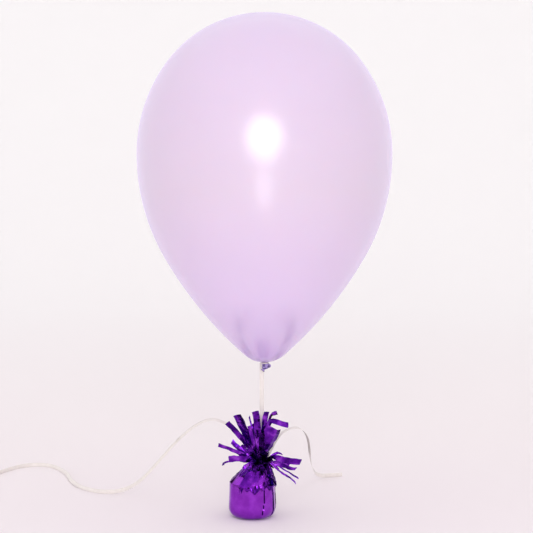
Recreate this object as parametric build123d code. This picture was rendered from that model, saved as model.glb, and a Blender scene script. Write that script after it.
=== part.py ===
from build123d import *
import math
import os

# A latex balloon on a curling ribbon, tied to a foil-wrapped balloon weight.
# Millimetres, +Z up. The origin is on the floor, under the middle of the balloon.
# The front of the object faces -Y.

# ---- balloon ------------------------------------------------------------
balloon_width = 280.0       # an 11 inch balloon, blown up to size
inflation = balloon_width / 280.0   # the outline's arcs grow with the width
crown_radius = 133.0 * inflation    # arc over the top
crown_angle = 54.0          # how far that arc runs down from the top, degrees
flank_radius = 227.0 * inflation    # arc below the widest place
flank_slope = 30.0          # its slope from upright at its lower end, degrees
lower_flank_radius = 437.0 * inflation  # flatter arc down to the tip
lower_flank_slope = 48.0    # its slope from upright at its lower end, degrees
skin_wall = 0.15            # latex, thicker than the blown-up film
neck_radius = 3.2           # stem between the tip and the knot
neck_bore = 1.5             # radius left open through the stem
stem_length = 1.8           # from the tip down to the knot

# ---- knot in the balloon's neck -----------------------------------------
knot_radius = 3.9
knot_height = 6.4
knot_rounding = 2.9
knot_shift = 1.6            # the knot rolls over to this side of the axis
tail_radius = 1.4           # end of the neck below the knot
tail_bore = 0.7
tail_length = 5.4           # from the middle of the knot
bead_thickness = 0.9        # rolled rim of the mouth
tail_direction = (-0.6, -0.3, -0.74)

# ---- weight -------------------------------------------------------------
weight_x = -13.5            # centre of the weight
foot_corner = 26.2          # radius of the wrap where side and floor would meet
foot_rounding = 11.0
shoulder_z = 37.0
shoulder_radius = 25.0
waist_rise = 17.5           # from the shoulder up to the cone's middle ring
waist_radius = 14.6
waist_x = -8.0
throat_rise = 2.5           # from there to the top of the cone, under the neck band
neck_x = -4.0               # centre of the gathered foil
foil = 0.4                  # wrap
skirt_foil = 0.3
skirt_gap = 0.35            # between the wrap's shoulder and the skirt over it
skirt_drop = 0.6            # the skirt's rim hangs this far below the shoulder
cup_gap = 0.3               # between foil and cup
cup_wall = 1.2
cup_rim_drop = 3.4          # the cup's rim is this far below the shoulder
lid_thickness = 1.2
fill_depth_below_rim = 2.4
fill_gap = 0.1

# ---- neck of the weight --------------------------------------------------
gather_radius = 6.7         # foil pulled together above the cone
gather_sink = 1.2           # its foot is this far inside the top of the cone
band_height = 2.4
band_thickness = 1.1
fit_gap = 0.3               # around pieces that wrap the gathered foil
touch_gap = 0.05            # between pieces that lie against each other
tie_cord_radius = 0.7       # ribbon pulled narrow as it goes round the neck
tie_knot_radius = 1.9

# ---- ribbon --------------------------------------------------------------
ribbon_width = 5.0
ribbon_thickness = 0.3
ribbon_x = -3.0             # the upright stretch
top_knot_lean = 0.45        # it hangs this far in front of the middle of its top knot
ribbon_span = 112.3         # from the tie on the weight to the balloon's tip
foot_twist_rise = 47.3      # heights of the four pivots above the tie
lean_rise = 57.3
head_twist_rise = 89.3
tilt_rise = 99.3
twist_gap = 0.15            # from a twist pivot to the ribbon on each side
fold_gap = 0.3              # from a fold to the ribbon on each side
loop_radius = 0.6           # ribbon round the balloon's neck
top_knot_radius = 1.3

# ---- fringe --------------------------------------------------------------
strip_thickness = 0.3
top_root = 2.9 / 6.7 * gather_radius    # rings on which the strips start,
side_root = 4.6 / 6.7 * gather_radius   # spread over the top of the gathered foil
low_root = 6.3 / 6.7 * gather_radius
strip_root_width = 1.0 / 2.9 * top_root  # as wide as the inner ring has room for

# Each strip: bearing round the neck in degrees from +X, width, then its reach
# and rise from its root, out to the tip.
top_strips = [
    (132, 5.0, (5, 24), (10, 42)),
    (160, 2.0, (5, 26), (11, 50)),
    (193, 7.0, (11, 25), (23, 47)),
    (217, 4.6, (6, 20), (13, 37)),
    (242, 6.4, (3, 27), (7, 52)),
    (272, 5.0, (5, 18), (11, 34)),
    (300, 4.5, (2, 27), (6, 51)),
    (326, 14.0, (11, 14), (24, 31)),
    (352, 4.0, (3, 32), (9, 45), (26, 39)),
    (22, 5.0, (5, 24), (9, 42)),
]
side_strips = [
    (150, 4.0, (12, 6), (24, 5)),
    (170, 4.5, (12, 8), (26, 18.5)),
    (187, 3.5, (20, 9), (41, 16.5)),
    (203, 4.0, (12, 20), (32, 40)),
    (219, 4.0, (12, 12), (22, 22)),
    (237, 4.5, (8, 8), (16, 13)),
    (262, 5.0, (9, 7), (17, 9)),
    (288, 4.5, (8, 9), (15, 14)),
    (310, 4.0, (10, 5), (19, 4)),
    (350, 5.0, (7, 6), (20, 3.5), (40, 0)),
    (14, 3.0, (10, 7), (19, 10)),
]
low_strips = [
    (140, 3.0, (3, 0.3), (10, -4), (19, -12)),
    (160, 4.0, (14, -4), (28, -10)),
    (178, 2.0, (16, 0.5), (34, -1), (38, -4)),
    (195, 5.0, (4, 1.5), (30, 4.2)),
    (209, 4.0, (9, -1), (17, -5)),
    (228, 4.0, (8, -1), (15, -7)),
    (250, 4.5, (8, -1), (15, -8)),
    (275, 4.5, (8, -1), (15, -9)),
    (295, 4.0, (8, -1.5), (15, -9)),
    (316, 4.0, (3, 0.2), (8, -4), (12.5, -12), (14, -26)),
    (334, 2.0, (3, 0.3), (19, -10), (38, -19)),
    (345, 4.0, (18, -3), (34, -8)),
    (358, 1.6, (3, 0.3), (18, -8), (36, -19)),
    (20, 4.0, (14, -2), (28, -6)),
    (36, 3.0, (3, 0.3), (10, -4), (19, -12)),
]

# ---- loose ends of the ribbon ---------------------------------------------
# Each starts at the knot on the weight and ends up lying on the floor, at half
# the ribbon's width above it.
left_route = [
    (-5.6, 9.2, 61.2), (-13, 11.5, 69), (-23, 14, 83), (-38, 17, 99),
    (-60, 21, 107), (-80, 31, 96), (-100, 44, 77), (-122, 59, 50),
    (-146, 78, 21), (-170, 101, 4.5), (-194, 104, 2.6), (-219, 124, 2.5),
    (-240, 164, 2.6), (-252, 214, 2.5), (-281, 262, 2.6), (-313, 262, 2.5),
    (-334, 226, 2.6), (-345, 192, 2.5), (-346, 178, 2.6),
]
right_route = [
    (-0.4, 9.2, 61.2), (6, 11.2, 69), (12, 14, 82), (22, 19, 93),
    (38, 27, 96), (48, 46, 84), (52, 74, 66), (54, 106, 44),
    (58, 140, 23), (66, 174, 7), (82, 197, 2.6), (98, 203, 2.5),
]
coil_centre = (-377.5, 174.0)
coil_outer = 32.6
coil_inner = 22.4

# ---- places worked out from the sizes --------------------------------------
shoulder_arc = ((balloon_width / 2 - crown_radius * math.sin(math.radians(crown_angle)))
                / (1 - math.sin(math.radians(crown_angle))))
waist_z = shoulder_z + waist_rise
throat_z = waist_z + throat_rise
gather_foot = throat_z - gather_sink
cup_rim_z = shoulder_z - cup_rim_drop
band_z = throat_z + fit_gap
tie_z = band_z + band_height + fit_gap + tie_cord_radius
gather_top = tie_z + tie_cord_radius + fit_gap
tie_ring = gather_radius + fit_gap + tie_cord_radius
loop_ring = neck_radius + fit_gap + loop_radius
top_knot_y = loop_ring + loop_radius + touch_gap + top_knot_radius
ribbon_y = top_knot_y - top_knot_lean
neck_y = ribbon_y - tie_ring
strip_z = gather_top + fit_gap
tip_z = tie_z + ribbon_span
knot_top = tip_z - stem_length
knot_z = knot_top - knot_height / 2
foot_twist_z = tie_z + foot_twist_rise
lean_z = tie_z + lean_rise
head_twist_z = tie_z + head_twist_rise
tilt_z = tie_z + tilt_rise
cup_inset = foil + cup_gap


def save(shape, name):
    shape.label = name
    export_step(shape, f"parts/{name}.step")


def upright(x, y=0.0, z=0.0):
    """The XZ plane, moved: outlines drawn on it are revolved about its own Z."""
    return Plane(origin=(x, y, z), x_dir=(1, 0, 0), z_dir=(0, -1, 0))


def turned(outline, x, y=0.0, z=0.0):
    """An outline of (radius, height) turned about an upright axis at x, y."""
    plane = upright(x, y, z)
    return revolve(plane * outline, Axis((x, y, z), (0, 0, 1)), 360)


def washer(outer, inner, height, x, y, z):
    ring = Cylinder(outer, height) - Cylinder(inner, height)
    return Pos(x, y, z + height / 2) * ring


# ---- balloon ---------------------------------------------------------------
def balloon_outline(inset):
    """Half outline from the top, down the flank and in to the stem."""
    crown = JernArc((0, -inset), (1, 0), crown_radius - inset, -crown_angle)
    shoulder = JernArc(crown @ 1, crown % 1, shoulder_arc - inset, crown_angle - 90)
    flank = JernArc(shoulder @ 1, shoulder % 1, flank_radius - inset, -flank_slope)
    lower = JernArc(flank @ 1, flank % 1, lower_flank_radius - inset,
                    flank_slope - lower_flank_slope)
    end = lower @ 1
    tip_radius = end.X / math.cos(math.radians(lower_flank_slope))
    stem = neck_bore if inset else neck_radius
    reach = math.degrees(math.acos(stem / tip_radius))
    tip = JernArc(end, lower % 1, tip_radius, lower_flank_slope - reach)
    axis_bottom = tip_radius * (1 - math.sin(math.radians(lower_flank_slope)))
    tip_y = end.Y - axis_bottom + inset
    stem_end = tip_y - inset - stem_length
    edges = [crown, shoulder, flank, lower, tip,
             Polyline(tip @ 1, (stem, stem_end), (0, stem_end), (0, -inset))]
    return make_face(edges), tip_y - inset


def balloon_skin():
    outer, outer_tip = balloon_outline(0.0)
    inner, _ = balloon_outline(skin_wall)
    top_z = tip_z - outer_tip
    shell = turned(outer, 0, 0, top_z) - turned(inner, 0, 0, top_z)
    bore = Cylinder(neck_bore, 4 * stem_length)
    return shell - Pos(0, 0, tip_z - stem_length) * bore


def knot_and_mouth():
    """The rolled knot, the short end of the neck below it and the rim of the mouth."""
    roll = Cylinder(knot_radius, knot_height)
    rims = roll.edges().filter_by(GeomType.CIRCLE)
    knot = Pos(knot_shift, 0, knot_z) * fillet(rims, knot_rounding)
    centre = Vector(knot_shift, 0, knot_z)
    out = Vector(*tail_direction).normalized()
    grow = (Align.CENTER, Align.CENTER, Align.MIN)
    tube = Cylinder(tail_radius, tail_length, align=grow) - Cylinder(tail_bore, tail_length, align=grow)
    tail = Plane(origin=centre, z_dir=out) * tube - knot
    bead_at = Plane(origin=centre + out * (tail_length - bead_thickness / 2), z_dir=out)
    bead = bead_at * Torus(tail_radius + bead_thickness / 2 + touch_gap, bead_thickness / 2)
    return knot, tail, bead


# ---- weight ------------------------------------------------------------------
def side_radius(z):
    """The wrap narrows a little from the floor up to the shoulder."""
    return foot_corner + (shoulder_radius - foot_corner) * z / shoulder_z


def body(inset, top):
    """The solid inside the wrap's foot and side, inset by a wall."""
    outline = Polygon((0, inset), (foot_corner - inset, inset),
                      (side_radius(top) - inset, top), (0, top), align=None)
    foot_edge = outline.vertices().group_by(Axis.Y)[0].sort_by(Axis.X)[-1]
    return turned(fillet(foot_edge, foot_rounding - inset), weight_x, neck_y)


def slanted_cone(low, high):
    """Between two level circles, each (x, z, radius)."""
    rings = [Plane(origin=(x, neck_y, z)) * Circle(radius) for x, z, radius in (low, high)]
    return loft(rings, ruled=True)


def shoulders(grow, drop=0.0):
    """Cone from the shoulder to the waist and on to the throat, grown sideways.

    A drop carries the same cone on down past the shoulder.
    """
    past = drop / (waist_z - shoulder_z)
    shoulder = (weight_x - past * (waist_x - weight_x), shoulder_z - drop,
                shoulder_radius + past * (shoulder_radius - waist_radius) + grow)
    waist = (waist_x, waist_z, waist_radius + grow)
    throat = (neck_x, throat_z, gather_radius + fit_gap + foil + grow)
    return slanted_cone(shoulder, waist) + slanted_cone(waist, throat)


def foil_wrap():
    outer = body(0.0, shoulder_z) + shoulders(0.0)
    inner = body(foil, shoulder_z) + shoulders(-foil)
    return outer - inner


def foil_skirt():
    step = skirt_gap + skirt_foil
    outer = shoulders(step, skirt_drop)
    inner = shoulders(skirt_gap, skirt_drop)
    return outer - inner


def weight_cup():
    return body(cup_inset, cup_rim_z) - body(cup_inset + cup_wall, cup_rim_z)


def sand_fill():
    return body(cup_inset + cup_wall + fill_gap, cup_rim_z - fill_depth_below_rim)


def cup_lid():
    radius = side_radius(cup_rim_z + lid_thickness) - cup_inset
    return Pos(weight_x, neck_y, cup_rim_z + lid_thickness / 2) * Cylinder(radius, lid_thickness)


def foil_gather():
    height = gather_top - gather_foot
    return Pos(neck_x, neck_y, gather_foot + height / 2) * Cylinder(gather_radius, height)


def neck_band():
    inner = gather_radius + fit_gap
    return washer(inner + band_thickness, inner, band_height, neck_x, neck_y, band_z)


# ---- fringe ------------------------------------------------------------------
def bent_band(centre_line, thickness):
    """A flat outline of even thickness on both sides of a centre line of 2-D points."""
    line = [Vector(*point) for point in centre_line]
    runs = [(b - a).normalized() for a, b in zip(line, line[1:])]
    sides = [Vector(-run.Y, run.X) for run in runs]
    mitres = [sides[0]] + [(a + b) / (1 + a.dot(b)) for a, b in zip(sides, sides[1:])] + [sides[-1]]
    left = [point + mitre * (thickness / 2) for point, mitre in zip(line, mitres)]
    right = [point - mitre * (thickness / 2) for point, mitre in zip(line, mitres)]
    return Polygon(*left, *reversed(right), align=None)


def foil_strip(ring, bearing, width, *steps):
    """A flat strip standing on the neck, narrow at its root."""
    angle = math.radians(bearing)
    out = Vector(math.cos(angle), math.sin(angle), 0)
    root = Vector(neck_x, neck_y, strip_z) + out * ring
    side_on = Plane(origin=root, x_dir=out, z_dir=(out.Y, -out.X, 0))
    band = extrude(side_on * bent_band([(0, 0), *steps], strip_thickness), width, both=True)
    wide_at, past_tip = steps[0][0], steps[-1][0] + strip_thickness
    taper = Polygon((-strip_thickness, -strip_root_width / 2), (wide_at, -width / 2),
                    (past_tip, -width / 2), (past_tip, width / 2), (wide_at, width / 2),
                    (-strip_thickness, strip_root_width / 2), align=None)
    past_height = 2 * max(abs(rise) for _, rise in steps) + strip_thickness
    from_above = Plane(origin=root, x_dir=out, z_dir=(0, 0, 1))
    return band & extrude(from_above * taper, past_height, both=True)

# ---- ribbon ----------------------------------------------------------------------
def upright_ribbon(low, high):
    bar = Box(ribbon_width, ribbon_thickness, high - low)
    return Pos(ribbon_x, ribbon_y, (low + high) / 2) * bar


def tube_along(route, name):
    """Round tube as wide as the ribbon: straight runs joined by tangent arcs."""
    points = [Vector(*point) for point in route]
    radii = []
    for before, here, after in zip(points, points[1:], points[2:]):
        turn = (here - before).get_angle(after - here)
        shorter = min((here - before).length, (after - here).length)
        radii.append(0.45 * shorter / math.tan(math.radians(turn / 2)))
    path = FilletPolyline(*points, radius=radii)
    section = Plane(origin=path @ 0, z_dir=path % 0) * Circle(ribbon_width / 2)
    tube = sweep(section, path=path)
    expected = math.pi * (ribbon_width / 2) ** 2 * path.length
    print(f"{name}: length {path.length:.1f}, volume {tube.volume:.1f}, section x length {expected:.1f}")
    print("  radii", " ".join(f"{radius:.0f}" for radius in radii))
    return tube


os.makedirs("parts", exist_ok=True)

knot, neck_tail, mouth_bead = knot_and_mouth()
save(balloon_skin(), "balloon_skin")
save(knot, "balloon_knot")
save(neck_tail, "neck_tail")
save(mouth_bead, "mouth_bead")

save(weight_cup(), "weight_cup")
save(cup_lid(), "cup_lid")
save(sand_fill(), "sand_fill")
save(foil_wrap(), "foil_wrap")
save(foil_skirt(), "foil_skirt")
save(foil_gather(), "foil_gather")
save(neck_band(), "neck_band")

tie_loop = Pos(neck_x, neck_y, tie_z) * Torus(tie_ring, tie_cord_radius)
tie_knot_y = ribbon_y + tie_cord_radius + touch_gap + tie_knot_radius
save(tie_loop, "ribbon_tie_loop")
save(Pos(ribbon_x, tie_knot_y, tie_z) * Sphere(tie_knot_radius), "ribbon_tie_knot")
save(upright_ribbon(gather_top, foot_twist_z - twist_gap), "ribbon_stub")
save(upright_ribbon(foot_twist_z + twist_gap, lean_z - fold_gap), "ribbon_foot")
save(upright_ribbon(lean_z + fold_gap, head_twist_z - twist_gap), "ribbon_riser")
save(upright_ribbon(head_twist_z + twist_gap, tilt_z - fold_gap), "ribbon_head")

loop_z = knot_top + fit_gap / 2 + loop_radius
save(Pos(0, 0, loop_z) * Torus(loop_ring, loop_radius), "ribbon_neck_loop")
save(Pos(ribbon_x / 2, top_knot_y, loop_z) * Sphere(top_knot_radius), "ribbon_top_knot")
save(upright_ribbon(tilt_z + fold_gap, loop_z - top_knot_radius - touch_gap), "ribbon_lead")

save(tube_along(left_route, "ribbon_tail_left"), "ribbon_tail_left")
save(tube_along(right_route, "ribbon_tail_right"), "ribbon_tail_right")
save(washer(coil_outer, coil_inner, ribbon_width, *coil_centre, 0.0), "ribbon_tail_coil")

tiers = (("top", top_root, top_strips), ("side", side_root, side_strips),
         ("low", low_root, low_strips))
for tier, ring, strips in tiers:
    for number, strip in enumerate(strips, 1):
        save(foil_strip(ring, *strip), f"{tier}_strip_{number:02d}")
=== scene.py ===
import math
import random

import bpy
from mathutils import Matrix, Vector, noise


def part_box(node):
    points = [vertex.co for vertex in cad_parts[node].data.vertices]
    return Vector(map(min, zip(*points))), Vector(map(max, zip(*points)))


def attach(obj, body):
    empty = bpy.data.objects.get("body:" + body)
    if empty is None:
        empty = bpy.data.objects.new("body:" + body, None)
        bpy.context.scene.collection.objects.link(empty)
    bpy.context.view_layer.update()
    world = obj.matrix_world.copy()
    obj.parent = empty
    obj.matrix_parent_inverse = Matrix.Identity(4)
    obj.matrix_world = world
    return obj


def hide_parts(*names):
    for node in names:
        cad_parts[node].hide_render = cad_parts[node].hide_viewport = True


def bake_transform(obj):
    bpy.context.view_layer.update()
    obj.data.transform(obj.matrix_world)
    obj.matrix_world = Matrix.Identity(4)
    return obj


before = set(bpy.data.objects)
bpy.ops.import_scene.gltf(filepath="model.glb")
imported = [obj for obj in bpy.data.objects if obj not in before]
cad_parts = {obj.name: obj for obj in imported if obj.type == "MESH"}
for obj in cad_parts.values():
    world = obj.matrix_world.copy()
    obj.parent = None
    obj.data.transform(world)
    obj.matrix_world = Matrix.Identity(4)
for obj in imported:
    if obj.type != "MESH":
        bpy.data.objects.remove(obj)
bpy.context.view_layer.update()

bpy.ops.object.select_all(action="DESELECT")


# ---- Camera ----------------------------------------------------------------
# Stands a metre and a half off, level with the middle of the balloon, and looks
# a little down so that the weight is seen slightly from above.
camera_data = bpy.data.cameras.new("camera")
camera_data.sensor_width = 36.0
camera_data.lens = 91.9
camera = bpy.data.objects.new("camera", camera_data)
bpy.context.collection.objects.link(camera)
camera.location = (0.0022, -1.5, 0.373)
looked_at = Vector((0.0022, 0.0, 0.279))
camera.rotation_euler = (looked_at - camera.location).to_track_quat("-Z", "Y").to_euler()
bpy.context.scene.camera = camera
bpy.context.scene.view_settings.view_transform = "Standard"


# ---- Loose ends of the ribbon ------------------------------------------------
# Curling ribbon: 5 mm flat polypropylene film, extruded with a fine rib along it
# and an ivory tint. Both ends spring from the knot on the weight; the long one
# runs off over the floor and is wound into a coil that stands on its edge.
def colour(hex_code):
    """An sRGB hex colour as linear red, green, blue and alpha."""
    channels = [int(hex_code[place:place + 2], 16) / 255 for place in (1, 3, 5)]
    linear = [c / 12.92 if c <= 0.04045 else ((c + 0.055) / 1.055) ** 2.4 for c in channels]
    return (*linear, 1.0)


def new_material(name, **surface):
    """A material with its Principled shader's own sockets set."""
    made = bpy.data.materials.new(name)
    made.use_nodes = True
    shader = made.node_tree.nodes["Principled BSDF"]
    for socket, value in surface.items():
        shader.inputs[socket.replace("_", " ")].default_value = value
    return made


def add_node(made, kind, values=None, links=None, **options):
    """Adds a node to a material, sets its options and sockets, and links its inputs."""
    tree = made.node_tree
    node = tree.nodes.new(kind)
    for option, value in options.items():
        setattr(node, option, value)
    for socket, value in (values or {}).items():
        node.inputs[socket].default_value = value
    for socket, source in (links or {}).items():
        tree.links.new(source, node.inputs[socket])
    return node


def feed_shader(made, **sources):
    """Links node outputs to the Principled shader."""
    shader = made.node_tree.nodes["Principled BSDF"]
    for socket, source in sources.items():
        made.node_tree.links.new(source, shader.inputs[socket.replace("_", " ")])


def set_ramp(ramp_node, *stops):
    """Gives a Color Ramp its (place, hex colour) stops."""
    ramp = ramp_node.color_ramp
    while len(ramp.elements) < len(stops):
        ramp.elements.new(0.5)
    for element, (place, hex_code) in zip(ramp.elements, stops):
        element.position = place
        element.color = colour(hex_code)


ribbon_width = 0.005
ribbon_thickness = 0.0003

# Polypropylene film, IOR 1.49, extruded over ribbed rollers: a slightly cloudy ivory
# with a satin gloss. Its clouds are about 6 mm long. The ribs are 0.25 mm apart and
# too fine to show, so a faint bump 1 mm across stands for them.
ribbon_film = new_material("ivory_polypropylene_ribbon", IOR=1.49, Roughness=0.32,
                           Coat_Weight=0.35, Coat_Roughness=0.12)
place = add_node(ribbon_film, "ShaderNodeTexCoord")
cloud = add_node(ribbon_film, "ShaderNodeTexNoise", {"Scale": 160.0, "Detail": 3.0},
                 {"Vector": place.outputs["Object"]})
tint = add_node(ribbon_film, "ShaderNodeValToRGB", None, {"Fac": cloud.outputs["Fac"]})
set_ramp(tint, (0.35, "#e4ddd8"), (0.65, "#eae3de"))
ribs = add_node(ribbon_film, "ShaderNodeTexNoise", {"Scale": 1000.0, "Detail": 1.0},
                {"Vector": place.outputs["Object"]})
rib_bump = add_node(ribbon_film, "ShaderNodeBump", {"Strength": 0.12, "Distance": 0.0002},
                    {"Height": ribs.outputs["Fac"]})
feed_shader(ribbon_film, Base_Color=tint.outputs["Color"], Normal=rib_bump.outputs["Normal"])


def ribbon_tail(name, route, turns):
    """A flat ribbon along one smooth spline; turns roll it about its length, in degrees."""
    data = bpy.data.curves.new(name, "CURVE")
    data.dimensions = "3D"
    data.twist_mode = "Z_UP"
    data.resolution_u = 8
    data.extrude = (ribbon_width - ribbon_thickness) / 2
    data.bevel_depth = ribbon_thickness / 2
    data.bevel_resolution = 0
    spline = data.splines.new("NURBS")
    spline.points.add(len(route) - 1)
    for number, (point, at) in enumerate(zip(spline.points, route)):
        point.co = (*at, 1.0)
        point.tilt = math.radians(turns[number]) if number < len(turns) else 0.0
    spline.order_u = 3
    spline.use_endpoint_u = True
    tail = bpy.data.objects.new(name, data)
    bpy.context.collection.objects.link(tail)
    data.materials.append(ribbon_film)
    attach(tail, "weight")
    return tail


left_route = [
    (-0.0056, 0.0092, 0.0612), (-0.013, 0.0115, 0.069), (-0.023, 0.014, 0.083),
    (-0.038, 0.017, 0.099), (-0.060, 0.021, 0.107), (-0.080, 0.031, 0.096),
    (-0.100, 0.044, 0.077), (-0.122, 0.059, 0.050), (-0.146, 0.078, 0.021),
    (-0.170, 0.101, 0.0045), (-0.194, 0.104, 0.0026), (-0.219, 0.124, 0.0025),
    (-0.240, 0.164, 0.0026), (-0.252, 0.214, 0.0025), (-0.281, 0.262, 0.0026),
    (-0.313, 0.262, 0.0025), (-0.334, 0.226, 0.0026), (-0.345, 0.192, 0.0025),
    (-0.346, 0.178, 0.0026),
]
left_turns = [60, 62, 66, 70, 60, 45, 35, 30, 22, 12, 25, 48, 60, 50, 30, 12]
right_route = [
    (-0.0004, 0.0092, 0.0612), (0.006, 0.0112, 0.069), (0.012, 0.014, 0.082),
    (0.022, 0.019, 0.093), (0.038, 0.027, 0.096), (0.048, 0.046, 0.084),
    (0.052, 0.074, 0.066), (0.054, 0.106, 0.044), (0.058, 0.140, 0.023),
    (0.066, 0.174, 0.007), (0.082, 0.197, 0.0026), (0.098, 0.203, 0.0025),
]
right_turns = [-60, -70, -80, -85, -70, -50, -40, -30, -20, -8]

coil_middle = (-0.3775, 0.174)
coil_turns = 3.35
points_a_turn = 14
outer_turn, inner_turn = 0.0314, 0.0243
coil_points = round(coil_turns * points_a_turn)
for number in range(1, coil_points + 1):
    angle = -2 * math.pi * number / points_a_turn
    radius = outer_turn + (inner_turn - outer_turn) * number / coil_points
    left_route.append((coil_middle[0] + radius * math.cos(angle),
                       coil_middle[1] + radius * math.sin(angle), ribbon_width / 2))

tail_left = ribbon_tail("ribbon_tail_left_film", left_route, left_turns)
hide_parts("ribbon_tail_left", "ribbon_tail_coil")
tail_right = ribbon_tail("ribbon_tail_right_film", right_route, right_turns)
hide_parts("ribbon_tail_right")


# ---- Studio --------------------------------------------------------------------
# A pale seamless bowl: flat floor, a wide sweep and a high wall, so that every
# side of the object is seen against the same pale ground.
def spun(name, outline, steps=96):
    """A line of (radius, height) points extruded one by one and spun about the Z axis."""
    bpy.ops.object.select_all(action="DESELECT")
    bpy.ops.mesh.primitive_plane_add(size=0.001, location=(0, 0, 0))
    piece = bpy.context.object
    piece.name = name
    bpy.ops.object.mode_set(mode="EDIT")
    bpy.ops.mesh.select_all(action="SELECT")
    bpy.ops.mesh.merge(type="CENTER")
    bpy.ops.transform.translate(value=(outline[0][0], 0, outline[0][1]))
    for (radius, height), (next_radius, next_height) in zip(outline, outline[1:]):
        move = (next_radius - radius, 0, next_height - height)
        bpy.ops.mesh.extrude_region_move(TRANSFORM_OT_translate={"value": move})
    bpy.ops.mesh.select_all(action="SELECT")
    bpy.ops.mesh.spin(steps=steps, angle=2 * math.pi, center=(0, 0, 0), axis=(0, 0, 1))
    bpy.ops.mesh.select_all(action="SELECT")
    bpy.ops.mesh.remove_doubles(threshold=2e-6)
    bpy.ops.mesh.normals_make_consistent(inside=False)
    bpy.ops.object.mode_set(mode="OBJECT")
    return piece


def arc(start, heading, radius, turn, steps):
    """Points after start along an arc; heading and turn in degrees, left turns positive."""
    side = 1 if turn > 0 else -1
    first = math.radians(heading)
    centre = (start[0] - side * radius * math.sin(first), start[1] + side * radius * math.cos(first))
    points = []
    for number in range(1, steps + 1):
        now = first + math.radians(turn) * number / steps
        points.append((centre[0] + side * radius * math.sin(now), centre[1] - side * radius * math.cos(now)))
    return points


floor_reach, sweep_radius, wall_radius, wall_top = 2.6, 2.4, 5.0, 4.4
bowl_outline = [(0.0, 0.0), (0.4, 0.0), (1.2, 0.0), (floor_reach, 0.0)]
bowl_outline += arc(bowl_outline[-1], 0, sweep_radius, 90, 16)
bowl_outline += [(wall_radius, 3.4), (wall_radius, wall_top)]
bowl = spun("studio_bowl", bowl_outline)
bpy.ops.object.shade_smooth()

# Matt emulsion paint with almost no gloss, pale and pinkish. Over it, painted shading runs by distance from
# the middle: pinkish grey on the floor near the object, fading to nearly white on the far wall.
bowl_paint_and_shade = new_material("pale_backdrop_paint_and_shade", Roughness=0.9, Specular_IOR_Level=0.1)
place = add_node(bowl_paint_and_shade, "ShaderNodeTexCoord")
away = add_node(bowl_paint_and_shade, "ShaderNodeVectorMath", None, {"Vector": place.outputs["Object"]},
                operation="LENGTH")
share = add_node(bowl_paint_and_shade, "ShaderNodeMapRange", {"From Min": 0.0, "From Max": wall_radius},
                 {"Value": away.outputs["Value"]})
tint = add_node(bowl_paint_and_shade, "ShaderNodeValToRGB", None, {"Fac": share.outputs["Result"]})
set_ramp(tint, (0.0, "#efe7ea"), (0.12, "#f1eaec"), (0.5, "#f8f5f6"), (1.0, "#fdfcfc"))
feed_shader(bowl_paint_and_shade, Base_Color=tint.outputs["Color"])
bowl.data.materials.append(bowl_paint_and_shade)

# One round softbox stands behind the camera. Its grid narrows the beam to 80
# degrees, so that the floor right below it gets little of the light.
softbox_data = bpy.data.lights.new("round_softbox", "AREA")
softbox_data.shape = "DISK"
softbox_data.size = 1.25
softbox_data.energy = 3.9
softbox_data.spread = math.radians(80)
softbox = bpy.data.objects.new("round_softbox", softbox_data)
bpy.context.collection.objects.link(softbox)
softbox.location = (0.0, -2.23, 0.87)
to_balloon = Vector((0.0, 0.0, 0.41)) - softbox.location
softbox.rotation_euler = to_balloon.to_track_quat("-Z", "Y").to_euler()
softbox.visible_camera = False

world = bpy.data.worlds.new("studio_air")
world.use_nodes = True
world.node_tree.nodes["Background"].inputs["Color"].default_value = colour("#fefcfd")
world.node_tree.nodes["Background"].inputs["Strength"].default_value = 1.055
bpy.context.scene.world = world


def seen_in_gloss(board, finish):
    """Finishes a studio board that reflections show and nothing else does."""
    bpy.ops.object.transform_apply(location=True, rotation=True, scale=True)
    board.data.materials.append(finish)
    board.visible_camera = False
    board.visible_diffuse = False
    board.visible_shadow = False


# Low boards round the weight, painted a dead black, give its foil something dark to
# reflect. The two in front are lower, so that they don't show in the balloon.
board_black = new_material("black_board", Base_Color=colour("#0a0610"), Roughness=0.9)
board_ring, board_thickness, board_width = 0.105, 0.01, 0.055
board_foot, board_top, front_board_drop = 0.026, 0.080, 0.030
for number, bearing in enumerate((12, 55, 100, 146, 192, 228, 312, 348)):
    angle = math.radians(bearing)
    top = board_top - front_board_drop if 210 < bearing < 330 else board_top
    at = (board_ring * math.cos(angle), board_ring * math.sin(angle), (board_foot + top) / 2)
    bpy.ops.mesh.primitive_cube_add(size=1.0, location=at)
    board = bpy.context.object
    board.name = f"black_board_{number}"
    board.scale = (board_thickness, board_width, top - board_foot)
    board.rotation_euler = (0, 0, angle)
    seen_in_gloss(board, board_black)

# A long oval card lies on the floor in front and glows evenly by itself, though it is no lamp, and only
# reflections show it. Its glow paints the soft light on the balloon under its highlight.
card_glow = new_material("glowing_white_card", Base_Color=colour("#ffffff"), Emission_Color=colour("#fdf6ff"),
                          Emission_Strength=1.5)
card_half_width, card_half_length = 0.20, 1.32
bpy.ops.mesh.primitive_circle_add(vertices=64, radius=1.0, fill_type="NGON", location=(0.0, -2.05, 0.002))
card = bpy.context.object
card.name = "white_card"
card.scale = (card_half_width, card_half_length, 1.0)
seen_in_gloss(card, card_glow)


# ---- Upright ribbon --------------------------------------------------------------
# The same ribbon, pulled straight by the balloon's lift from the knot on the weight up to the balloon's
# neck, in four stretches. Each is cupped across its width and sways a little along its length.
ribbon_x, ribbon_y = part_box("ribbon_riser")[0][0] + ribbon_width / 2, 0.0056
cup_depth, sway_width = 0.0004, 0.00025


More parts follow.
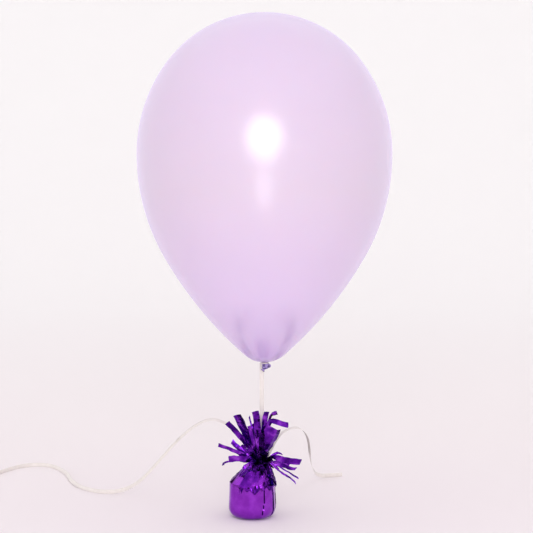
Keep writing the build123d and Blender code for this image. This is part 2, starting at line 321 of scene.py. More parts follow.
def upright_ribbon(name, low, high):
    """A cupped stretch of ribbon: a plane on edge, cut across and given its thickness."""
    bpy.ops.object.select_all(action="DESELECT")
    bpy.ops.mesh.primitive_grid_add(x_subdivisions=6, y_subdivisions=max(8, round((high - low) / 0.001)),
                                    size=1.0, location=(0, 0, 0))
    piece = bpy.context.object
    piece.name = name
    for vertex in piece.data.vertices:
        across, along = vertex.co.x, vertex.co.y
        height = low + (along + 0.5) * (high - low)
        cup = cup_depth * (1 - 4 * across * across)
        sway = sway_width * math.sin(height * 160)
        vertex.co = (ribbon_x + across * ribbon_width, ribbon_y + cup + sway, height)
    thicken = piece.modifiers.new("film_thickness", "SOLIDIFY")
    thicken.thickness = ribbon_thickness
    thicken.offset = 0
    bpy.ops.object.modifier_apply(modifier=thicken.name)
    bpy.ops.object.shade_smooth_by_angle(angle=math.radians(40))
    piece.data.materials.append(ribbon_film)
    return piece


foot_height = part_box("ribbon_stub")[0][2]
head_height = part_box("ribbon_lead")[1][2]
ribbon_stretches = [
    ("ribbon_stub_film", foot_height, 0.1130, "weight", "ribbon_foot_link", 0.1030, 0.1125, ["ribbon_stub"]),
    ("ribbon_foot_film", 0.1130, 0.1235, "ribbon_foot_link", "ribbon_riser_link", 0.1135, 0.1230,
     ["ribbon_foot"]),
    ("ribbon_riser_film", 0.1235, 0.1550, "ribbon_riser_link", "ribbon_head_link", 0.1450, 0.1545,
     ["ribbon_riser"]),
    ("ribbon_head_film", 0.1550, head_height, "ribbon_head_link", "balloon", 0.1555, 0.1650,
     ["ribbon_head", "ribbon_lead"]),
]
for name, low, high, lower_body, upper_body, bend_start, bend_end, nodes in ribbon_stretches:
    stretch = upright_ribbon(name, low, high)
    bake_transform(stretch)
    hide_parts(*nodes)


# ---- Ribbon knots and loops -----------------------------------------------------------
# Where it is tied, the ribbon is pulled narrow and folds along its length. Each
# loop is one turn round a neck, and each knot is an overhand knot drawn tight.
pleat_depth = 0.16


def cord_loop(name, middle, ring, thickness, body, node):
    """A pleated ring: a torus whose section is drawn in along five folds that wind round it."""
    bpy.ops.object.select_all(action="DESELECT")
    bpy.ops.mesh.primitive_torus_add(location=(0, 0, 0), major_segments=72, minor_segments=20,
                                     major_radius=ring, minor_radius=thickness)
    piece = bpy.context.object
    piece.name = name
    for vertex in piece.data.vertices:
        around = math.atan2(vertex.co.y, vertex.co.x)
        core = Vector((ring * math.cos(around), ring * math.sin(around), 0))
        arm = vertex.co - core
        section = math.atan2(arm.z, vertex.co.xy.length - ring)
        fold = 1 - pleat_depth * (0.5 + 0.5 * math.cos(5 * section + 2 * around)) ** 2
        vertex.co = core + arm * fold + Vector(middle)
    bpy.ops.object.shade_smooth()
    piece.data.materials.append(ribbon_film)
    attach(piece, body)
    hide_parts(node)


def trefoil(turn):
    """The middle line of an overhand knot, about 3 units across and 2 thick."""
    return Vector((math.sin(turn) + 2 * math.sin(2 * turn), math.cos(turn) - 2 * math.cos(2 * turn),
                   -math.sin(3 * turn)))


def select_only(piece):
    bpy.ops.object.select_all(action="DESELECT")
    piece.select_set(True)
    bpy.context.view_layer.objects.active = piece


def overhand_knot(name, middle, radius, tilt, finish, thickness=0.42):
    """A tube along an overhand knot, drawn tight to a given radius and turned by a tilt."""
    data = bpy.data.curves.new(name, "CURVE")
    data.dimensions = "3D"
    data.resolution_u = 4
    data.bevel_depth = radius * thickness
    data.bevel_resolution = 4
    spline = data.splines.new("NURBS")
    count = 24
    spline.points.add(count - 1)
    reach = radius * (1 - thickness) / 3
    turned = Matrix.Rotation(math.radians(tilt), 3, "Y") @ Matrix.Rotation(math.radians(90), 3, "X")
    for number, point in enumerate(spline.points):
        point.co = (*(turned @ (trefoil(2 * math.pi * number / count) * reach) + Vector(middle)), 1.0)
    spline.order_u = 3
    spline.use_cyclic_u = True
    rope = bpy.data.objects.new(name, data)
    bpy.context.collection.objects.link(rope)
    select_only(rope)
    bpy.ops.object.convert(target="MESH")
    piece = bpy.context.object
    for vertex in piece.data.vertices:
        ripple = noise.noise(vertex.co * (2.2 / radius)) * radius * 0.10
        vertex.co += (vertex.co - Vector(middle)).normalized() * ripple
    bpy.ops.object.shade_smooth()
    piece.data.materials.append(finish)
    return piece


def middle_of(node):
    low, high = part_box(node)
    return [(a + b) / 2 for a, b in zip(low, high)]


for node, body in (("ribbon_tie_loop", "weight"), ("ribbon_neck_loop", "balloon")):
    low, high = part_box(node)
    cord_radius = (high[2] - low[2]) / 2
    ring = (high[0] - low[0]) / 2 - cord_radius
    cord_loop(node + "_film", middle_of(node), ring, cord_radius, body, node)
for node, body in (("ribbon_tie_knot", "weight"), ("ribbon_top_knot", "balloon")):
    low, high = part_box(node)
    tied = overhand_knot(node + "_film", middle_of(node), (high[0] - low[0]) / 2, 20, ribbon_film)
    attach(tied, body)
    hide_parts(node)


# ---- Cup, lid and filling -----------------------------------------------------------------
# Inside the wrap: a thin moulded polystyrene cup, a disc of grey board pressed on
# to its rim, and dry sand that gives the weight its mass. All three are hidden.
# Moulded polystyrene: off-white and half glossy, with flow clouds about 17 mm long.
cup_plastic = new_material("moulded_polystyrene_cup", IOR=1.59, Roughness=0.45)
place = add_node(cup_plastic, "ShaderNodeTexCoord")
flow = add_node(cup_plastic, "ShaderNodeTexNoise", {"Scale": 60.0}, {"Vector": place.outputs["Object"]})
tint = add_node(cup_plastic, "ShaderNodeValToRGB", None, {"Fac": flow.outputs["Fac"]})
set_ramp(tint, (0.3, "#d2d0d2"), (0.7, "#e2e0e2"))
feed_shader(cup_plastic, Base_Color=tint.outputs["Color"])

# Pulp board: matt buff, mottled by fibres about 1 mm long.
lid_board = new_material("grey_board_lid", Roughness=0.85)
place = add_node(lid_board, "ShaderNodeTexCoord")
fibre = add_node(lid_board, "ShaderNodeTexNoise", {"Scale": 900.0, "Detail": 4.0},
                 {"Vector": place.outputs["Object"]})
tint = add_node(lid_board, "ShaderNodeValToRGB", None, {"Fac": fibre.outputs["Fac"]})
set_ramp(tint, (0.3, "#8d7f6b"), (0.7, "#a99a84"))
feed_shader(lid_board, Base_Color=tint.outputs["Color"])

# Builder's sand: matt tan grains 0.6 mm across, with painted shade where two grains meet.
sand = new_material("dry_sand_filling", Roughness=0.95)
place = add_node(sand, "ShaderNodeTexCoord")
grain_gap_shade = add_node(sand, "ShaderNodeTexVoronoi", {"Scale": 1600.0}, {"Vector": place.outputs["Object"]})
tint = add_node(sand, "ShaderNodeValToRGB", None, {"Fac": grain_gap_shade.outputs["Distance"]})
set_ramp(tint, (0.1, "#b5a586"), (0.8, "#8a7a5e"))
feed_shader(sand, Base_Color=tint.outputs["Color"])

# Cut natural rubber: dull amber, with a bloom of talc in patches 2 mm across.
band_rubber = new_material("natural_rubber_band", IOR=1.52, Roughness=0.6)
place = add_node(band_rubber, "ShaderNodeTexCoord")
dust = add_node(band_rubber, "ShaderNodeTexNoise", {"Scale": 500.0}, {"Vector": place.outputs["Object"]})
tint = add_node(band_rubber, "ShaderNodeValToRGB", None, {"Fac": dust.outputs["Fac"]})
set_ramp(tint, (0.3, "#a98f63"), (0.7, "#c2aa7c"))
feed_shader(band_rubber, Base_Color=tint.outputs["Color"])

for node, finish in (("weight_cup", cup_plastic), ("cup_lid", lid_board), ("sand_fill", sand),
                     ("neck_band", band_rubber)):
    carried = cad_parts[node]
    carried.data.materials.clear()
    carried.data.materials.append(finish)


# ---- Foil wrap ---------------------------------------------------------------------------
# A square of purple metallised polyester film, drawn up round the cup. It folds
# in flat faces between upright creases and gathers in pleats over the top.
def foil_material(name, deep, middle, bright, crinkle):
    """Aluminium on polyester under a clear purple lacquer: a coloured mirror, slightly blurred.
    The lacquer's thickness drifts over 10 mm, and crinkles 4 mm apart break up what it reflects."""
    film = new_material(name, Metallic=1.0, Roughness=0.2)
    at = add_node(film, "ShaderNodeTexCoord")
    hue = add_node(film, "ShaderNodeTexNoise", {"Scale": 95.0, "Detail": 2.0},
                   {"Vector": at.outputs["Object"]})
    lacquer = add_node(film, "ShaderNodeValToRGB", None, {"Fac": hue.outputs["Fac"]})
    set_ramp(lacquer, (0.34, deep), (0.52, middle), (0.70, bright))
    creases = add_node(film, "ShaderNodeTexVoronoi", {"Scale": 260.0},
                       {"Vector": at.outputs["Object"]}, feature="DISTANCE_TO_EDGE")
    crease_bump = add_node(film, "ShaderNodeBump", {"Strength": crinkle, "Distance": 0.0006},
                           {"Height": creases.outputs["Distance"]})
    feed_shader(film, Base_Color=lacquer.outputs["Color"], Normal=crease_bump.outputs["Normal"])
    return film


# Drawn tight, the film is bright and even. The skirt, fringe and crushed-end copies are the same film with
# darker lacquer colours: painted shade, standing in for the shade that falls among the folds, the strips and
# the crushed ends.
wrap_foil = foil_material("purple_metallised_wrap", "#8b2fbc", "#9537c8", "#a042d2", 0.12)
skirt_foil_painted_shade = foil_material("purple_metallised_skirt_painted_shade", "#4a1082", "#6b1ba6", "#8f2fc4", 0.45)
fringe_foil_painted_shade = foil_material("purple_metallised_fringe_painted_shade", "#3a0c70", "#6a1ca8", "#a548dc", 0.40)
painted_shade_foil = foil_material("purple_metallised_painted_shade", "#14032e", "#2a0850", "#5c1a94", 0.5)

weight_low, weight_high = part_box("weight_cup")
weight_middle = Vector(((weight_low[0] + weight_high[0]) / 2, (weight_low[1] + weight_high[1]) / 2))
gather_low, gather_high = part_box("foil_gather")
neck_middle = Vector(((gather_low[0] + gather_high[0]) / 2, (gather_low[1] + gather_high[1]) / 2))
foot_radius, foot_rounding = 0.0262, 0.0110
shoulder_height, shoulder_radius = 0.0392, 0.0250
waist_height, waist_radius, waist_x = 0.0545, 0.0146, -0.0080
throat_height, throat_radius = 0.0570, 0.0074
wrap_folds = [12, 48, 85, 121, 158, 180, 205, 296, 330]
fold_span, fold_relief, fold_inset, fold_foot = 22, 0.0010, 0.0003, 0.004
ripple_height, flat_foot = 0.00035, 0.001
cone_pleats, pleat_relief, pleat_lead = 17, 0.0008, 0.002

# Over these bearings the top is pulled nearly smooth.
smooth_from, smooth_to, smooth_share = 175, 238, 0.15


def lean(height):
    """The weight's middle line: plumb up to the shoulder, then over to the neck."""
    if height <= shoulder_height:
        return weight_middle
    waist = Vector((waist_x, weight_middle.y))
    if height <= waist_height:
        part = (height - shoulder_height) / (waist_height - shoulder_height)
        return weight_middle.lerp(waist, part)
    return waist.lerp(neck_middle, min(1, (height - waist_height) / (throat_height - waist_height)))


def fold_height(bearing, folds):
    """A lapped fold: 1 at its edge, then falling away to 0 over the fold's span."""
    past = min((bearing - fold) % 360 for fold in folds)
    return max(0.0, 1 - past / fold_span)


def saw(bearing, count, phase):
    """Sharp pleats of uneven width: 0 on a ridge, 1 in the fold between."""
    swing = bearing / 360 * count + phase + 0.35 * math.sin(math.radians(bearing) * 5 + phase)
    return 1 - abs(2 * (swing - math.floor(swing)) - 1)


def crumple(piece, rule, keep, sharp=24):
    """Moves each vertex by a rule of its radius, bearing and height, then breaks the piece
    into facets: keep is the share of faces left, sharp the degrees that make a crease."""
    for vertex in piece.data.vertices:
        radius = vertex.co.xy.length
        bearing = math.degrees(math.atan2(vertex.co.y, vertex.co.x)) % 360
        vertex.co = rule(radius, bearing, vertex.co.z)
    select_only(piece)
    facets = piece.modifiers.new("facets", "DECIMATE")
    facets.ratio = keep
    bpy.ops.object.modifier_apply(modifier=facets.name)
    bpy.ops.object.shade_smooth_by_angle(angle=math.radians(sharp))


def wrap_rule(radius, bearing, height):
    """Folds and ripples up the side, and pleats over the top; the foot stays flat."""
    slant = (bearing + 5 * math.sin(height * 70 + bearing * 0.03)) % 360
    upright = min(1, height / fold_foot)
    out = radius + (fold_relief * fold_height(slant, wrap_folds) - fold_inset) * upright
    out += ripple_height * noise.noise(Vector((bearing * 0.035, height * 45, 3.0))) * upright
    if height > shoulder_height - pleat_lead:
        rise = (height - shoulder_height + pleat_lead) / (throat_height - shoulder_height)
        pulled = smooth_share if smooth_from < bearing < smooth_to else 1.0
        out -= pleat_relief * pulled * saw(bearing, cone_pleats, 0.2) * min(1, 0.3 + rise)
    if height < flat_foot:
        out = radius
    middle = lean(height)
    angle = math.radians(bearing)
    return Vector((middle.x + out * math.cos(angle), middle.y + out * math.sin(angle), height))


wrap_outline = [(0.0, 0.0), (0.006, 0.0), (0.011, 0.0), (foot_radius - foot_rounding - 0.0003, 0.0)]
wrap_outline += arc(wrap_outline[-1], 0, foot_rounding, 92, 7)
side_start = wrap_outline[-1]
for step in range(1, 15):
    part = step / 14
    wrap_outline.append((side_start[0] + (shoulder_radius - side_start[0]) * part,
                         side_start[1] + (shoulder_height - side_start[1]) * part))
for step in range(1, 12):
    part = step / 11
    wrap_outline.append((shoulder_radius + (waist_radius - shoulder_radius) * part,
                         shoulder_height + (waist_height - shoulder_height) * part))
for step in range(1, 4):
    part = step / 3
    wrap_outline.append((waist_radius + (throat_radius - waist_radius) * part,
                         waist_height + (throat_height - waist_height) * part))
wrap_outline += [(0.004, throat_height), (0.0, throat_height)]
wrap = spun("foil_wrap_film", wrap_outline, 144)
crumple(wrap, wrap_rule, 0.5)
wrap.data.materials.append(wrap_foil)

# The narrow faces at the edges of the folds are turned aside and look into the next fold. They take the dark
# foil, which is painted shade in the creases.
turned_aside = 0.86
wrap.data.materials.append(painted_shade_foil)
for face in wrap.data.polygons:
    outward = (face.center.xy - weight_middle).normalized()
    on_side = fold_foot < face.center.z < shoulder_height
    if on_side and face.normal.xy.normalized().dot(outward) < turned_aside:
        face.material_index = 1
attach(wrap, "weight")
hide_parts("foil_wrap")


# ---- Foil skirt ---------------------------------------------------------------------------
# The corners of the same film, folded back down over the pleated top. The hem
# droops past the shoulder and ends in a few torn points, save at the left front,
# where it is caught up under the fringe and the pulled wrap shows below it.

# Each torn point of the hem: bearing, half its spread in degrees, and length.
hem_points = [(232, 13, 0.0135), (258, 10, 0.0045), (276, 16, 0.0075), (298, 8, 0.0035), (322, 12, 0.0050),
              (347, 9, 0.0025), (18, 13, 0.0055), (45, 9, 0.003), (70, 14, 0.0065), (97, 9, 0.003),
              (121, 12, 0.006), (148, 10, 0.003), (171, 12, 0.005)]
hem_droop = 0.0022
caught_from, caught_to, caught_share, caught_swing = 165, 236, 0.42, 0.06
skirt_run = 0.1
skirt_pleat, skirt_fine_pleat, skirt_crumple = 0.0013, 0.0008, 0.0009


def hem_length(bearing):
    """How far the hem hangs below the shoulder at a bearing."""
    longest = 0.0
    for at, spread, length in hem_points:
        off = abs((bearing - at + 180) % 360 - 180)
        longest = max(longest, length * (1 - off / spread))
    return hem_droop + longest


def skirt_rule(share, bearing, height):
    """Lays a flat disc over the top: its radius, up to skirt_run, is how far down it hangs."""
    down = share / skirt_run
    if caught_from < bearing < caught_to:
        down *= caught_share + caught_swing * math.sin(bearing * 0.7)
    cone = throat_height + 0.0006 - down * 1.25 * (throat_height - shoulder_height)
    over = 0.0011
    if cone >= waist_height:
        part = (throat_height - cone) / (throat_height - waist_height)
        radius = throat_radius + (waist_radius - throat_radius) * max(0, part) + over
        at = cone
    elif cone >= shoulder_height:
        part = (waist_height - cone) / (waist_height - shoulder_height)
        radius = waist_radius + (shoulder_radius - waist_radius) * part + over
        at = cone
    else:
        hang = (down - 0.8) / 0.2
        at = shoulder_height - hang * hem_length(bearing)
        radius = shoulder_radius + over * (1 + 0.3 * hang) + 0.02 * (shoulder_height - at)
    pleat = saw(bearing + 6 * math.sin(down * 3), cone_pleats, 0.45) * (0.45 + 0.55 * min(1, down))
    fine = saw(bearing, 41, 0.1) * max(0, 0.75 - down)
    radius += 0.0005 - skirt_pleat * pleat - skirt_fine_pleat * fine
    radius += skirt_crumple * noise.noise(Vector((bearing * 0.09, down * 7, 9.0)))
    middle = lean(max(at, shoulder_height))
    angle = math.radians(bearing)
    return Vector((middle.x + radius * math.cos(angle), middle.y + radius * math.sin(angle), at))


skirt_outline = [(skirt_run * step / 24, 0.0) for step in range(1, 25)]
skirt = spun("foil_skirt_film", skirt_outline, 144)
crumple(skirt, skirt_rule, 0.4, 14)
doubled_film = 0.0002
thicken = skirt.modifiers.new("film_thickness", "SOLIDIFY")
thicken.thickness = doubled_film
bpy.ops.object.modifier_apply(modifier=thicken.name)
skirt.data.materials.append(skirt_foil_painted_shade)
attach(skirt, "weight")
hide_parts("foil_skirt")


# ---- Gathered neck ---------------------------------------------------------------------------
# The film bunched tight above the top, with its crushed end showing among the
# roots of the fringe.
gather_radius = (gather_high[0] - gather_low[0]) / 2
tuck_depth, crest_height, crest_lead = 0.28, 0.0022, 0.001


def gather_rule(radius, bearing, height):
    """Thirteen deep tucks round the bunch, and an uneven crest along its top."""
    out = radius * (1 - tuck_depth * saw(bearing, 13, 0.6))
    if height > gather_high[2] - crest_lead:
        height += crest_height * saw(bearing, 7, 0.3) * radius / gather_radius
    angle = math.radians(bearing)
    return Vector((neck_middle.x + out * math.cos(angle), neck_middle.y + out * math.sin(angle), height))


gather_outline = [(0.0, gather_low[2]), (gather_radius * 0.8, gather_low[2])]
gather_outline += [(gather_radius, gather_low[2] + 0.0015 * step) for step in range(1, 4)]
gather_outline += [(gather_radius * 0.96, gather_high[2]), (gather_radius * 0.7, gather_high[2] + 0.0006),
                   (gather_radius * 0.4, gather_high[2] + 0.0009), (0.0, gather_high[2] + 0.0010)]
gather = spun("foil_gather_film", gather_outline, 104)
crumple(gather, gather_rule, 0.8)
# The gathered neck takes the dark foil: painted shade in the heart of the tuft.
gather.data.materials.append(painted_shade_foil)
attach(gather, "weight")
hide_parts("foil_gather")


# ---- Fringe ------------------------------------------------------------------------------------
# Slit strips of the same film standing round the neck in three tiers. Each strip
# is creased down its middle, curls as it was drawn over the blade, and is cut to
# a ragged point.
tier_rings = {"top": 0.0029, "side": 0.0046, "low": 0.0063}
film_thickness, strip_crinkle, curl_start = 0.00012, 0.0007, 0.74
millimetre = 0.001
strip_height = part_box("foil_gather")[1][2] + 0.0003

# Bearing in degrees, width, crease, roll towards the tip in degrees, then reach
# and rise of its bends from the root, in millimetres.
strips = {
    "top": [
        (132, 5.0, 0.30, -40, (5, 24), (10, 42)),
        (160, 2.0, 0.15, -65, (5, 26), (11, 50)),
        (193, 9.0, 0.30, 62, (11, 28), (23, 54)),
        (217, 4.6, 0.35, 48, (6, 22), (12, 42)),
        (242, 7.4, 0.28, 25, (3, 31), (7, 59)),
        (272, 5.0, 0.35, 0, (5, 18), (11, 34)),
        (300, 6.0, 0.25, -27, (2, 30), (7, 58)),
        (326, 18.0, -0.60, -42, (8, 18), (20, 37)),
        (352, 6.5, 0.20, 50, (3, 32), (9, 46), (28, 40)),
        (22, 5.0, 0.30, -60, (4, 30), (8, 50), (17, 53)),
    ],
    "side": [
        (150, 4.0, 0.30, -65, (12, 6), (24, 5)),
        (170, 5.5, 0.30, -82, (12, 9), (29, 21)),
        (187, 4.0, 0.25, 82, (20, 10.5), (43, 20.5)),
        (203, 6.0, 0.25, 62, (12, 21), (35, 47)),
        (219, 4.0, 0.35, 50, (12, 12), (22, 22)),
        (237, 4.5, 0.35, 35, (8, 8), (16, 13)),
        (262, 5.0, 0.35, 10, (9, 7), (17, 9)),
        (288, 4.5, 0.35, -20, (8, 9), (15, 14)),
        (310, 4.0, 0.30, -45, (10, 5), (19, 4)),
        (350, 7.0, 0.20, -84, (7, 6), (20, 3.5), (41, 0.5)),
        (14, 3.0, 0.30, 80, (10, 7), (19, 10)),
    ],
    "low": [
        (140, 3.0, 0.30, 50, (3, 0.3), (10, -4), (19, -12)),
        (160, 4.0, 0.30, 60, (14, -1), (27, 2)),
        (178, 2.0, 0.20, 80, (16, 0.5), (34, -1), (38, -4)),
        (195, 6.6, 0.10, 86, (4, 2.5), (31, 6.2)),
        (209, 4.0, 0.35, -55, (9, -1), (17, -5)),
        (228, 4.0, 0.35, -45, (8, -1), (15, -7)),
        (250, 4.5, 0.30, -30, (8, -1), (15, -8)),
        (275, 4.5, 0.30, 10, (8, -1), (15, -9)),
        (295, 4.0, 0.35, 35, (8, -1.5), (15, -9)),
        (316, 5.0, 0.25, -30, (3, 0.2), (8, -4), (12.5, -12), (14, -25)),
        (334, 2.0, 0.20, 60, (3, 0.3), (19, -10), (38, -19)),
        (345, 4.0, 0.15, 85, (18, -3), (34, -8)),
        (358, 1.6, 0.20, 60, (3, 0.3), (18, -8), (36, -19)),
        (20, 4.0, 0.30, -60, (14, -2), (28, -6)),
        (36, 3.0, 0.30, -50, (3, 0.3), (10, -4), (19, -12)),
    ],
}
chance = random.Random(11)


def along_bends(bends, part):
    """A point and heading on the smooth line through the bends, part of the way along."""
    lengths = [0.0]
    for before, after in zip(bends, bends[1:]):
        lengths.append(lengths[-1] + (after - before).length)
    travelled = part * lengths[-1]
    run = max(n for n in range(len(bends) - 1) if lengths[n] <= travelled + 1e-9)
    share = (travelled - lengths[run]) / (lengths[run + 1] - lengths[run])
    start, end = bends[run], bends[run + 1]
    before = bends[run - 1] if run else start * 2 - end
    after = bends[run + 2] if run + 2 < len(bends) else end * 2 - start
    pull_in, pull_out = (end - before) / 2, (after - start) / 2
    s = share
    at = (start * (2 * s ** 3 - 3 * s ** 2 + 1) + pull_in * (s ** 3 - 2 * s ** 2 + s)
          + end * (3 * s ** 2 - 2 * s ** 3) + pull_out * (s ** 3 - s ** 2))
    heading = (start * (6 * s ** 2 - 6 * s) + pull_in * (3 * s ** 2 - 4 * s + 1)
               + end * (6 * s - 6 * s ** 2) + pull_out * (3 * s ** 2 - 2 * s))
    return at, heading.normalized()


def foil_strip(name, ring, bearing, width, crease, roll, bends):
    """One strip: a grid bent along its line, creased, rolled, crinkled and given thickness."""
    angle = math.radians(bearing)
    out = Vector((math.cos(angle), math.sin(angle), 0))
    across = Vector((-math.sin(angle), math.cos(angle), 0))
    up = Vector((0, 0, 1))
    root = Vector((*neck_middle, strip_height)) + out * ring
    line = [Vector((0, 0))] + [Vector(bend) * millimetre for bend in bends]
    bpy.ops.object.select_all(action="DESELECT")
    bpy.ops.mesh.primitive_grid_add(x_subdivisions=24, y_subdivisions=4, size=1.0, location=(0, 0, 0))
    piece = bpy.context.object
    piece.name = name
    seed = chance.uniform(0, 100)
    tip_curl = chance.uniform(-0.0022, 0.0030)
    tip_slant = chance.uniform(-1.0, 1.0)
    for vertex in piece.data.vertices:
        part, side = vertex.co.x + 0.5, vertex.co.y * 2
        half = width / 2 * millimetre * min(1.0, 0.22 + part * 1.9)
        turn = math.radians(roll) * min(1.0, part * 2.5)
        curl = max(0.0, (part - curl_start) / (1 - curl_start)) ** 2 * tip_curl
        cut = 1 - tip_slant * side - 0.5 * abs(tip_slant)
        at, heading = along_bends(line, part * max(0.9, min(1, 0.97 + 0.03 * cut)))
        facing = Vector((-heading.y, heading.x))
        sideways = side * half * math.cos(turn)
        lift = side * half * math.sin(turn) - crease * abs(side) * half - curl
        lift += strip_crinkle * noise.noise(Vector((part * 9 + seed, side * 1.5, 0))) * min(1, part * 4)
        flat = at + facing * lift
        vertex.co = root + out * flat.x + up * flat.y + across * sideways
    thicken = piece.modifiers.new("film_thickness", "SOLIDIFY")
    thicken.thickness = film_thickness
    thicken.offset = 0
    bpy.ops.object.modifier_apply(modifier=thicken.name)
    bpy.ops.object.shade_smooth_by_angle(angle=math.radians(22))
    piece.data.materials.append(fringe_foil_painted_shade)
    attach(piece, "weight")
    return piece


# Short ends of film crushed round the neck close the heart of the tuft. Each stands
# a golden angle on from the one before, and the back is left open for the ribbon's
# knot. The last sixteen droop over the gathered neck.
golden_angle = 137.5
leaves = []
for number in range(34):
    bearing = (number * golden_angle) % 360
    reach, rise = chance.uniform(4, 10), chance.uniform(-9, 12)
    if 50 < bearing < 130:
        continue
    leaf = foil_strip(f"foil_leaf_{number:02d}", 0.0035, bearing, chance.uniform(3.5, 6.5),
                      chance.uniform(-0.4, 0.5), chance.uniform(-50, 50),
                      [(reach * 0.6, rise * 0.3 + 2), (reach, rise)])
    leaves.append(leaf)
for number in range(16):
    bearing = 140 + number * 16.5
    reach = chance.uniform(6.5, 9.5)
    leaf = foil_strip(f"foil_drooping_{number:02d}", 0.0050, bearing, chance.uniform(3.0, 5.5),
                      chance.uniform(-0.4, 0.5), chance.uniform(-40, 40),
                      [(reach * 0.55, 0.2), (reach, chance.uniform(-9, -4))])
    leaves.append(leaf)
bpy.ops.object.select_all(action="DESELECT")
for leaf in leaves:
    leaf.select_set(True)
bpy.context.view_layer.objects.active = leaves[0]
bpy.ops.object.join()
leaves[0].name = "foil_crushed_ends"
# The crushed ends take the dark foil: painted shade in the heart of the tuft.
leaves[0].data.materials.clear()
leaves[0].data.materials.append(painted_shade_foil)

# The short strips in front stand in the shade of the tuft, and that shade is painted on: they take the dark
# foil.
shade_from, shade_to, shade_rise = 230, 315, 36
for tier, tier_strips in strips.items():
    for number, (bearing, width, crease, roll, *bends) in enumerate(tier_strips, 1):
        node = f"{tier}_strip_{number:02d}"
        strip = foil_strip(node + "_film", tier_rings[tier], bearing, width, crease, roll, bends)
        if shade_from < bearing < shade_to and bends[-1][1] < shade_rise:
            strip.data.materials[0] = painted_shade_foil
        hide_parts(node)


# ---- Balloon ---------------------------------------------------------------------------------------
# Dipped natural latex with mica in it for a pearl lustre, blown up until the film
# is thin and pale. Towards the neck it is less stretched, thicker and darker.
# The eye gets a soft satin glow with one clear highlight. Its mica flakes, 0.05 mm
# across, are drawn 0.4 mm apart, the finest that shows.
film_foot, film_crown = 0.170, 0.557    # the colour changes between these heights
pearl_latex = new_material("pearl_lilac_latex", IOR=1.52, Roughness=0.3, Coat_Weight=1.0,
                           Coat_Roughness=0.20, Coat_IOR=1.65, Subsurface_Weight=0.12,
                           Subsurface_Scale=0.02, Sheen_Weight=0.55, Sheen_Roughness=0.4,
                           Sheen_Tint=colour("#d9c4ff"))
place = add_node(pearl_latex, "ShaderNodeTexCoord")
axes = add_node(pearl_latex, "ShaderNodeSeparateXYZ", None, {"Vector": place.outputs["Object"]})
height = add_node(pearl_latex, "ShaderNodeMapRange", {"From Min": film_foot, "From Max": film_crown},
                  {"Value": axes.outputs["Z"]})
film = add_node(pearl_latex, "ShaderNodeValToRGB", None, {"Fac": height.outputs["Result"]})
set_ramp(film, (0.0, "#b899d6"), (0.035, "#d0b4e7"), (0.09, "#d8c0ea"), (0.20, "#dec8ec"),
         (0.5, "#d8c6dc"), (1.0, "#d1bbda"))
mica = add_node(pearl_latex, "ShaderNodeTexNoise", {"Scale": 2500.0, "Detail": 1.0},
                {"Vector": place.outputs["Object"]})
mica_bump = add_node(pearl_latex, "ShaderNodeBump", {"Strength": 0.05, "Distance": 0.0001},
                     {"Height": mica.outputs["Fac"]})
feed_shader(pearl_latex, Base_Color=film.outputs["Color"], Normal=mica_bump.outputs["Normal"])

skin_low, skin_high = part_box("balloon_skin")
half_width = (skin_high[0] - skin_low[0]) / 2
crown_radius, crown_angle = 0.133, 54
flank_radius, flank_slope = 0.227, 30
lower_flank_radius, lower_flank_slope = 0.437, 48
stem_radius = 0.0032
crown_sine = math.sin(math.radians(crown_angle))
shoulder_arc = (half_width - crown_radius * crown_sine) / (1 - crown_sine)
outline = [(0.0, skin_high[2])]
outline += arc(outline[-1], 0, crown_radius, -crown_angle, 22)
outline += arc(outline[-1], -crown_angle, shoulder_arc, crown_angle - 90, 16)
outline += arc(outline[-1], -90, flank_radius, -flank_slope, 14)
outline += arc(outline[-1], -90 - flank_slope, lower_flank_radius, flank_slope - lower_flank_slope, 16)
tip_radius = outline[-1][0] / math.cos(math.radians(lower_flank_slope))
tip_turn = math.degrees(math.acos(stem_radius / tip_radius)) - lower_flank_slope
outline += arc(outline[-1], -90 - lower_flank_slope, tip_radius, -tip_turn, 14)
outline += [(stem_radius, skin_low[2]), (0.0, skin_low[2])]
balloon = spun("balloon_film", outline, 144)

# The film puckers where it is drawn in to the knot.
pucker_length, pucker_depth, pucker_fade = 0.05, 0.0006, 0.004
for vertex in balloon.data.vertices:
    low_part = max(0.0, 1 - (vertex.co.z - skin_low[2]) / pucker_length)
    around = math.atan2(vertex.co.y, vertex.co.x)
    pucker = pucker_depth * low_part ** 2 * (math.sin(around * 9) + 0.6 * math.sin(around * 17 + 1))
    reach = vertex.co.xy.length
    if reach > stem_radius:
        share = 1 + pucker / reach * min(1, (reach - stem_radius) / pucker_fade)
        vertex.co.x *= share
        vertex.co.y *= share
select_only(balloon)
bpy.ops.object.shade_smooth()
balloon.data.materials.append(pearl_latex)
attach(balloon, "balloon")
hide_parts("balloon_skin")


# ---- Knot and mouth ----------------------------------------------------------------------------------
# The balloon's neck is stretched and tied in an overhand knot. Unstretched latex keeps its full thickness,
# so the knot and the short end below it are deep violet, and the end still has its rolled bead. Folds 2 to 3
# mm long are pale on their backs and dark between: this is painted highlight and painted shade in the
# colour, laid over a bump along the same folds.
neck_latex = new_material("unstretched_violet_latex", IOR=1.52, Roughness=0.38, Coat_Weight=0.3,
                          Coat_Roughness=0.2)
place = add_node(neck_latex, "ShaderNodeTexCoord")
fold_shade = add_node(neck_latex, "ShaderNodeTexNoise", {"Scale": 420.0, "Detail": 3.0},
                      {"Vector": place.outputs["Object"]})
# Painted highlight on the backs of the folds, painted shade between them.
tint = add_node(neck_latex, "ShaderNodeValToRGB", None, {"Fac": fold_shade.outputs["Fac"]})
set_ramp(tint, (0.40, "#453073"), (0.60, "#a894d2"))
fold_bump = add_node(neck_latex, "ShaderNodeBump", {"Strength": 0.4, "Distance": 0.0003},
                     {"Height": fold_shade.outputs["Fac"]})
feed_shader(neck_latex, Base_Color=tint.outputs["Color"], Normal=fold_bump.outputs["Normal"])

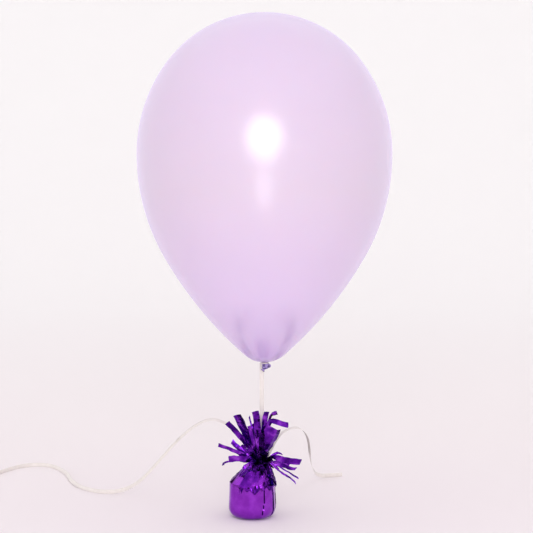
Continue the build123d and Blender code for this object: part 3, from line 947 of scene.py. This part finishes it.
knot_low, knot_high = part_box("balloon_knot")
knot_middle = middle_of("balloon_knot")
knot_radius = (knot_high[0] - knot_low[0]) * 0.72
knot_rise, knot_squash = 0.0008, 0.80
knot = overhand_knot("balloon_knot_latex", knot_middle, knot_radius, 35, neck_latex, 0.44)
for vertex in knot.data.vertices:
    vertex.co.z = knot_middle[2] + knot_rise + (vertex.co.z - knot_middle[2]) * knot_squash
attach(knot, "balloon")
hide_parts("balloon_knot")

tail_way = Vector((-0.6, -0.3, -0.74)).normalized()
tail_length, wrinkle_depth = 0.0062, 0.14
tail_outline = [(0.0, 0.0005), (0.0011, 0.0005), (0.0011, 0.002), (0.0012, 0.0035), (0.00135, 0.0046),
                (0.0016, tail_length), (0.0011, tail_length), (0.0008, 0.0044), (0.0, 0.0040)]
tail = spun("neck_tail_latex", tail_outline, 40)
for vertex in tail.data.vertices:
    around = math.atan2(vertex.co.y, vertex.co.x)
    wrinkle = 0.5 + 0.5 * math.sin(around * 7)
    drawn_in = 1 - wrinkle_depth * wrinkle * min(1, (tail_length - vertex.co.z) / 0.001)
    vertex.co.x *= drawn_in
    vertex.co.y *= drawn_in
to_tail = Matrix.Translation(knot_middle) @ tail_way.to_track_quat("Z", "Y").to_matrix().to_4x4()
tail.data.transform(to_tail)
bpy.ops.object.shade_smooth()
tail.data.materials.append(neck_latex)
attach(tail, "balloon")
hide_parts("neck_tail")

bead_ring, bead_radius, bead_wave = 0.0018, 0.00045, 0.00025
bpy.ops.object.select_all(action="DESELECT")
bpy.ops.mesh.primitive_torus_add(location=(0, 0, 0), major_segments=56, minor_segments=16,
                                 major_radius=bead_ring, minor_radius=bead_radius)
bead = bpy.context.object
bead.name = "mouth_bead_latex"
for vertex in bead.data.vertices:
    around = math.atan2(vertex.co.y, vertex.co.x)
    vertex.co.z += bead_wave * math.sin(around * 3) + tail_length - bead_radius
bead.data.transform(to_tail)
bpy.ops.object.shade_smooth()
bead.data.materials.append(neck_latex)
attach(bead, "balloon")
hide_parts("mouth_bead")
